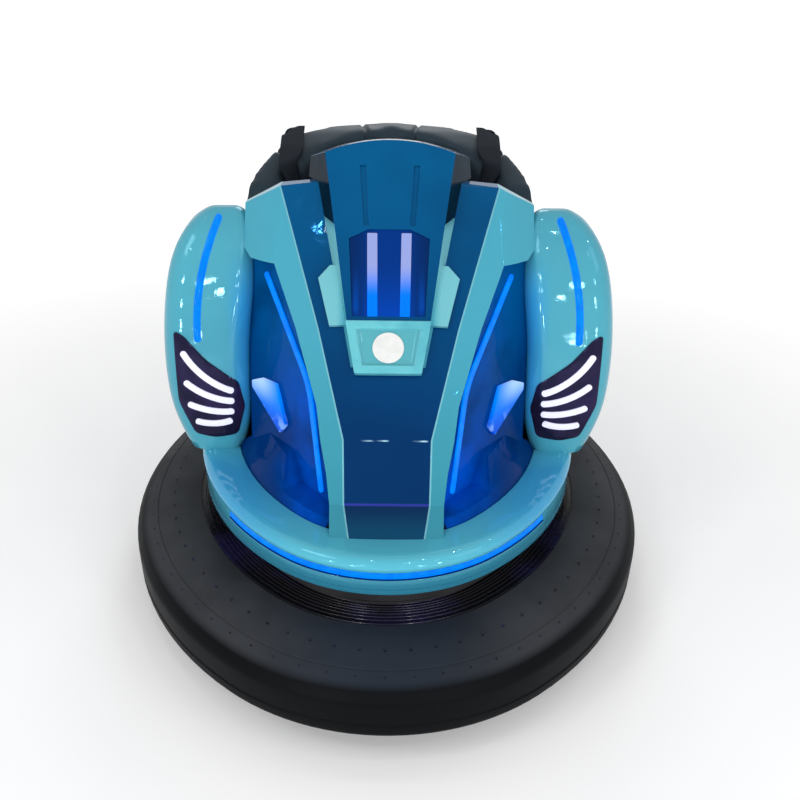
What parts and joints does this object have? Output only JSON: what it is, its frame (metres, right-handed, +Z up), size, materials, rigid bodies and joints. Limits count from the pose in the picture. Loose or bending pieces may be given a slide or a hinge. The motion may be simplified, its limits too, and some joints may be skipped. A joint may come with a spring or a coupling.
{
  "type": "bumper car",
  "caption": "Small electric bumper car with a round-nosed moulded body, a ring tyre all round, a padded wrap-round seat, a steering wheel and a steered drive wheel.",
  "frame": {"origin": "on the floor under the middle of the bounding box", "axes": "+Z up, the front faces -Y, +X is to the right of someone who faces the car's front"},
  "size_m": [1.2, 1.4, 0.9977],
  "materials": {
    "ring_rubber": "satin",
    "chassis_steel": "satin",
    "teal_shell": "gloss",
    "blue_shell": "gloss",
    "black_shell": "gloss",
    "led": "gloss",
    "white_lamp": "gloss",
    "red_lamp": "gloss",
    "seat_vinyl": "satin",
    "webbing": "matte",
    "black_plastic": "matte",
    "bare_steel": "satin",
    "wheel_alloy": "satin",
    "wheel_tyre": "matte"
  },
  "bodies": {
    "car": {"bumper_tyre": "ring_rubber", "chassis_rim": "chassis_steel", "chassis_frame": "chassis_steel", "floor_pan": "chassis_steel", "tub_shell": "teal_shell", "front_led_strip": "led", "front_deck": "blue_shell", "hood_shell": "teal_shell", "pod_cowl": "blue_shell", "grille_panel": "blue_shell", "grille_bars": "led", "number_plaque": "teal_shell", "plaque_disc": "white_lamp", "fender_right": "teal_shell", "fender_left": "teal_shell", "fender_leds": "led", "wing_lamps": "black_shell", "wing_bars": "white_lamp", "headlamps": "led", "hood_leds": "led", "rear_body": "teal_shell", "tail_lamps": "red_lamp", "charging_socket": "black_plastic", "seat_base": "black_plastic", "seat_cushion": "seat_vinyl", "seat_back": "seat_vinyl", "harness_straps": "webbing", "battery": "black_plastic", "dashboard": "black_plastic", "steering_column": "black_plastic", "pedal": "black_plastic", "rear_axle": "bare_steel"},
    "steering_wheel": {"steering_wheel": "black_plastic"},
    "steering_fork": {"steering_fork": "chassis_steel"},
    "drive_wheel": {"drive_hub": "wheel_alloy", "drive_tyre": "wheel_tyre"},
    "rear_wheel_left": {"rear_hub_left": "wheel_alloy", "rear_tyre_left": "wheel_tyre"},
    "rear_wheel_right": {"rear_hub_right": "wheel_alloy", "rear_tyre_right": "wheel_tyre"}
  },
  "joints": [
    {"name": "steering_turn", "type": "hinge", "parent": "car", "child": "steering_wheel", "pos_m": [0, 0.138, 0.69], "axis": [0, 0.766, 0.6428], "range_deg": [-90, 90]},
    {"name": "kingpin_turn", "type": "hinge", "parent": "car", "child": "steering_fork", "pos_m": [0, -0.215, 0.2], "axis": [0, 0, 1], "range_deg": [-90, 90]},
    {"name": "drive_roll", "type": "hinge", "parent": "steering_fork", "child": "drive_wheel", "pos_m": [0, -0.215, 0.085], "axis": [1, 0, 0], "continuous": true},
    {"name": "rear_roll_left", "type": "hinge", "parent": "car", "child": "rear_wheel_left", "pos_m": [-0.222, 0.245, 0.075], "axis": [1, 0, 0], "continuous": true},
    {"name": "rear_roll_right", "type": "hinge", "parent": "car", "child": "rear_wheel_right", "pos_m": [0.222, 0.245, 0.075], "axis": [1, 0, 0], "continuous": true}
  ],
  "couplings": [
    {"joint": "kingpin_turn", "follows": "steering_turn", "ratio": 1}
  ]
}
